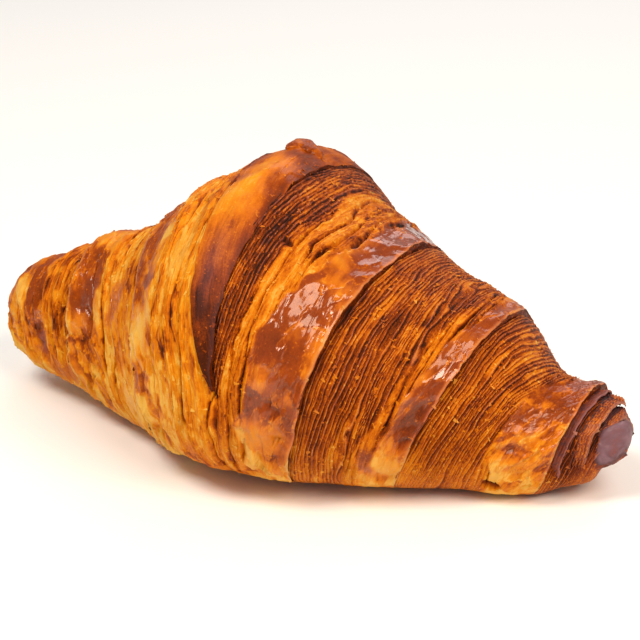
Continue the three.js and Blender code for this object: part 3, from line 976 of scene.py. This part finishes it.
def crustMaterial(name, finish):
    # an egg-washed crust; the fields of each mesh say how it is baked at each point, with shade and
    # highlights painted into them
    material = bpy.data.materials.new(name)
    material.use_nodes = True
    tree = material.node_tree
    tree.nodes.clear()
    add = tree.nodes.new

    def attribute(key):
        made = add("ShaderNodeAttribute")
        made.attribute_name = key
        return made.outputs["Fac"]

    def math2(kind, a, b):
        made = add("ShaderNodeMath")
        made.operation = kind
        wire(tree, made, i0=a, i1=b)
        return made.outputs[0]

    def noise(vector, scale, detail, rough=0.55):
        made = add("ShaderNodeTexNoise")
        wire(tree, made, Vector=vector, Scale=scale, Detail=detail, Roughness=rough)
        return math2("SUBTRACT", made.outputs["Fac"], 0.5)

    def ramp(fac, stops):
        made = add("ShaderNodeValToRGB")
        for k, (at, colour) in enumerate(stops):
            stop = made.color_ramp.elements[k] if k < 2 else made.color_ramp.elements.new(at)
            stop.position = at
            stop.color = linear(colour)
        wire(tree, made, Fac=fac)
        return made.outputs["Color"]

    coords = add("ShaderNodeTexCoord")
    uv = add("ShaderNodeUVMap")
    uv.uv_map = "roll"
    stretch = add("ShaderNodeMapping")
    wire(tree, stretch, Vector=uv.outputs["UV"], Scale=finish["fibreScale"])
    toast, glaze, cut, gold, ash = (attribute(k) for k in ("toast", "glaze", "cut", "gold", "ash"))
    mottle = noise(coords.outputs["Object"], finish["mottleScale"], 3)
    grain = noise(coords.outputs["Object"], finish["grainScale"], 3, 0.7)
    fibre = noise(stretch.outputs["Vector"], 1.0, 3)
    level = math2("ADD", toast, math2("MULTIPLY", mottle, finish["mottle"] * 2))
    rough = math2("ADD", math2("MULTIPLY", cut, finish["grainOnCuts"]), finish["grainOnSkin"])
    level = math2("ADD", level, math2("MULTIPLY", math2("MULTIPLY", grain, rough), finish["grain"] * 2))
    level = math2("ADD", level, math2("MULTIPLY", math2("MULTIPLY", fibre, cut), finish["fibre"] * 2))
    # pale specks, partly pale crumbs and partly painted glints
    speckAndGlint = add("ShaderNodeMapRange")
    fewest, most = finish["speckRange"]
    wire(tree, speckAndGlint, Value=noise(coords.outputs["Object"], finish["speckScale"], 1))
    wire(tree, speckAndGlint, **{"From Min": fewest, "From Max": most})
    speckAndGlintShare = math2("MULTIPLY", math2("MULTIPLY", speckAndGlint.outputs["Result"], rough), finish["speckAndGlint"])
    level = math2("SUBTRACT", level, speckAndGlintShare)
    colour = add("ShaderNodeMix")
    colour.data_type = "RGBA"
    wire(tree, colour, i0=gold, i6=ramp(level, finish["amber"]), i7=ramp(level, finish["gold"]))
    # mixes in the lilac of ash, which on the lips, layer crests and the flap's middle is painted sheen
    burnt = add("ShaderNodeMix")
    burnt.data_type = "RGBA"
    wire(tree, burnt, i0=math2("MULTIPLY", ash, finish["ashAndSheenShare"]), i6=colour.outputs[2])
    wire(tree, burnt, i7=linear(finish["ash"]))
    roughness = add("ShaderNodeMapRange")
    wire(tree, roughness, Value=math2("ADD", glaze, math2("MULTIPLY", mottle, 0.5)))
    wire(tree, roughness, **{"To Min": finish["roughCut"], "To Max": finish["roughGlaze"]})
    bump = add("ShaderNodeBump")
    uneven = math2("ADD", math2("MULTIPLY", cut, finish["bumpOnCuts"]), finish["bumpOnSkin"])
    relief = math2("ADD", math2("MULTIPLY", fibre, cut), math2("MULTIPLY", grain, uneven))
    wire(tree, bump, Height=relief, Strength=finish["bump"], Distance=finish["bumpHeight"])
    shader = add("ShaderNodeBsdfPrincipled")
    wire(tree, shader, Roughness=roughness.outputs["Result"], Normal=bump.outputs["Normal"])
    wire(tree, shader, **{"Base Color": burnt.outputs[2], "Specular IOR Level": finish["shine"]})
    wire(tree, shader, **{"Specular Tint": linear(finish["sheen"]), "Coat Roughness": finish["washRough"]})
    wire(tree, shader, **{"Coat Weight": math2("MULTIPLY", glaze, finish["wash"])})
    output = add("ShaderNodeOutputMaterial")
    wire(tree, output, Surface=shader.outputs["BSDF"])
    return material


flakes = {
    "name": "flakes",
    "perSquareMetre": 70000,
    "size": (0.0009, 0.00042, 0.00008),
    "points": (4, 3, 2),  # of the grid of each flake
    "taper": 0.9,
    "shortest": (0.4, 0.5, 1),
    "longest": (1.6, 1.5, 1),
    "tilt": 0.22,
    "spin": 6.28,
    "curl": 220.0,
    "paler": 0.16,
    "seed": 41,
}


def flakePiece(sources, material):
    # loose scraps of crust scattered where the layers are cut and along the edges
    held = bpy.data.collections.new("crustPieces")
    for source in sources:
        held.objects.link(source)
    group = bpy.data.node_groups.new("scatteredFlakes", "GeometryNodeTree")
    face = group.interface
    face.new_socket("Geometry", in_out="INPUT", socket_type="NodeSocketGeometry")
    density = face.new_socket("Flakes per square metre", in_out="INPUT", socket_type="NodeSocketFloat")
    seed = face.new_socket("Seed", in_out="INPUT", socket_type="NodeSocketInt")
    paler = face.new_socket("Paler than the crust", in_out="INPUT", socket_type="NodeSocketFloat")
    face.new_socket("Geometry", in_out="OUTPUT", socket_type="NodeSocketGeometry")
    add = group.nodes.new
    given = add("NodeGroupInput")

    def wired(kind, **links):
        return wire(group, add(kind), **links)

    def reading(key):
        made = wired("GeometryNodeInputNamedAttribute", Name=key)
        made.data_type = "FLOAT"
        return made.outputs["Attribute"]

    def maths(kind, a, b):
        made = add("ShaderNodeMath")
        made.operation = kind
        wire(group, made, i0=a, i1=b)
        return made.outputs[0]

    def randomVector(low, high, seedOffset):
        made = add("FunctionNodeRandomValue")
        made.data_type = "FLOAT_VECTOR"
        wire(group, made, Min=low, Max=high, Seed=maths("ADD", given.outputs["Seed"], seedOffset))
        return made.outputs["Value"]

    crustSource = wired("GeometryNodeCollectionInfo", Collection=held)
    whole = wired("GeometryNodeRealizeInstances", Geometry=crustSource.outputs[0])
    amount = maths("MULTIPLY", reading("flaky"), given.outputs["Flakes per square metre"])
    scatter = wired("GeometryNodeDistributePointsOnFaces", Mesh=whole.outputs[0], Density=amount,
                    Seed=given.outputs["Seed"])
    length, width, thick = flakes["size"]
    pointsLong, pointsWide, pointsThick = flakes["points"]
    scrap = wired("GeometryNodeMeshCube", Size=(length, width, thick), i1=pointsLong, i2=pointsWide,
                  i3=pointsThick)
    where = add("GeometryNodeInputPosition")
    apart = wired("ShaderNodeSeparateXYZ", i0=where.outputs[0])
    curl = maths("MULTIPLY", maths("MULTIPLY", apart.outputs[0], apart.outputs[0]), flakes["curl"])
    skew = maths("MULTIPLY", apart.outputs[0], apart.outputs[1])
    taper = maths("MULTIPLY", skew, -flakes["taper"] / length)
    shift = wired("ShaderNodeCombineXYZ", i1=taper, i2=curl)
    bent = wired("GeometryNodeSetPosition", Geometry=scrap.outputs["Mesh"], Offset=shift.outputs[0])
    tilt, spin = flakes["tilt"], flakes["spin"]
    turned = wired("FunctionNodeRotateRotation", Rotation=scatter.outputs["Rotation"])
    turned.rotation_space = "LOCAL"
    wire(group, turned, i1=randomVector((-tilt, -tilt, 0), (tilt, tilt, spin), 1))
    placed = wired("GeometryNodeInstanceOnPoints", Points=scatter.outputs["Points"], Instance=bent.outputs[0],
                   Rotation=turned.outputs[0], Scale=randomVector(flakes["shortest"], flakes["longest"], 2))
    loose = wired("GeometryNodeRealizeInstances", Geometry=placed.outputs[0])
    toasted = wired("GeometryNodeStoreNamedAttribute", Geometry=loose.outputs[0], Name="toast")
    toasted.data_type = "FLOAT"
    wire(group, toasted, Value=maths("SUBTRACT", reading("toast"), given.outputs["Paler than the crust"]))
    dressed = wired("GeometryNodeSetMaterial", Geometry=toasted.outputs[0], Material=material)
    result = add("NodeGroupOutput")
    group.links.new(dressed.outputs[0], result.inputs[0])

    carrier = bpy.data.objects.new("flakeCarrier", bpy.data.meshes.new("flakeCarrier"))
    scene.collection.objects.link(carrier)
    scattering = carrier.modifiers.new("scatteredFlakes", "NODES")
    scattering.node_group = group
    scattering[density.identifier] = float(flakes["perSquareMetre"])
    scattering[seed.identifier] = flakes["seed"]
    scattering[paler.identifier] = flakes["paler"]
    depsgraph = bpy.context.evaluated_depsgraph_get()
    mesh = bpy.data.meshes.new_from_object(carrier.evaluated_get(depsgraph), depsgraph=depsgraph)
    carrier.modifiers.clear()
    bpy.data.objects.remove(carrier)
    bpy.data.collections.remove(held)
    mesh.name = flakes["name"]
    piece = bpy.data.objects.new(flakes["name"], mesh)
    scene.collection.objects.link(piece)
    print("flakes", len(mesh.polygons), "faces")
    return piece


def finishPiece(piece, material):
    # the flakes bring their material with them
    if not piece.data.materials:
        piece.data.materials.append(material)
    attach(piece, "root")
    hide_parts("croissant")


view = {
    "azimuth": 25.4,
    "elevation": 22.58,
    "distance": 547.1,
    "focalPixels": 2290.3,
    "imagePixels": 640,
    "sensor": 36,
    "target": (10.03, 0, 32.2),
}


def makeCamera():
    data = bpy.data.cameras.new("camera")
    data.sensor_width = view["sensor"]
    data.lens = view["focalPixels"] / view["imagePixels"] * view["sensor"]
    data.clip_start = 0.01
    data.clip_end = 20
    camera = bpy.data.objects.new("camera", data)
    scene.collection.objects.link(camera)
    azimuth, elevation = math.radians(view["azimuth"]), math.radians(view["elevation"])
    back = Vector((math.sin(azimuth) * math.cos(elevation), -math.cos(azimuth) * math.cos(elevation),
                   math.sin(elevation)))
    target = Vector(view["target"]) - Vector((*roll["middleOfBox"], 0))
    camera.location = (target + back * view["distance"]) * mm
    camera.rotation_euler = back.to_track_quat("Z", "Y").to_euler()
    scene.camera = camera


studio = {
    "worldLight": 0.32,
    "lampsAimAt": (0, 0, 0.03),
    "floorSize": 6,
    "floorColour": (0.92, 0.92, 0.92, 1),
    "floorRough": 0.7,
}

lightSettings = [
    # name, place in m, size in m, watts, colour
    ("topSoftbox", (-0.2, -0.42, 0.8), (0.34, 0.3), 5.6, (1, 0.93, 0.82)),
    ("rightSoftbox", (0.5, -0.26, 0.58), (0.46, 0.34), 4.9, (1, 0.83, 0.66)),
    ("backSoftbox", (-0.1, 0.7, 0.6), (0.7, 0.4), 2, (0.97, 0.98, 1)),
]


def makeLights():
    aim = Vector(studio["lampsAimAt"])
    for name, place, size, watts, colour in lightSettings:
        data = bpy.data.lights.new(name, "AREA")
        data.shape = "RECTANGLE"
        data.size, data.size_y = size
        data.energy = watts
        data.color = colour
        lamp = bpy.data.objects.new(name, data)
        scene.collection.objects.link(lamp)
        lamp.location = place
        lamp.rotation_euler = (Vector(place) - aim).to_track_quat("Z", "Y").to_euler()
    world = bpy.data.worlds.new("studio")
    world.use_nodes = True
    background = world.node_tree.nodes["Background"]
    background.inputs["Color"].default_value = (1, 1, 1, 1)
    background.inputs["Strength"].default_value = studio["worldLight"]
    scene.world = world
    scene.view_settings.view_transform = "Standard"


def makeFloor():
    size = studio["floorSize"]
    points = np.array([(-size, -size, 0), (size, -size, 0), (size, size, 0), (-size, size, 0)], float)
    faces = [np.array([(0, 1, 2, 3)])]
    floor = makeMesh("floor", points, faces, {}, np.zeros((4, 2)))
    material = bpy.data.materials.new("paleFloor")
    material.use_nodes = True
    shader = material.node_tree.nodes["Principled BSDF"]
    shader.inputs["Base Color"].default_value = studio["floorColour"]
    shader.inputs["Roughness"].default_value = studio["floorRough"]
    floor.data.materials.append(material)


makeCamera()
makeLights()
makeFloor()
print("studio ready")

eggWashedCrust = crustMaterial("eggWashedCrust", crustFinish)
rightTurns = {"Inner": (-0.38, 0.62), "Middle": (0.62, 1.62), "Outer": (1.62, 2.62), "Tip": (2.62, 3.98)}
leftTurns = {"Inner": (-0.38, 0.62), "Middle": (0.62, 1.62), "Tip": (1.62, 2.98)}
pieces = [flapPiece("flap", -0.997, -0.38)]
pieces += [armPiece("rightArm" + part, rightArm, *turns) for part, turns in rightTurns.items()]
pieces += [armPiece("leftArm" + part, leftArm, *turns) for part, turns in leftTurns.items()]
pieces += [leafPiece(leaf) for leaf in leafSettings]
pieces += [nubPiece(nub) for nub in nubSettings]
pieces.append(flakePiece(pieces, eggWashedCrust))
for piece in pieces:
    finishPiece(piece, eggWashedCrust)
print("crust ready")
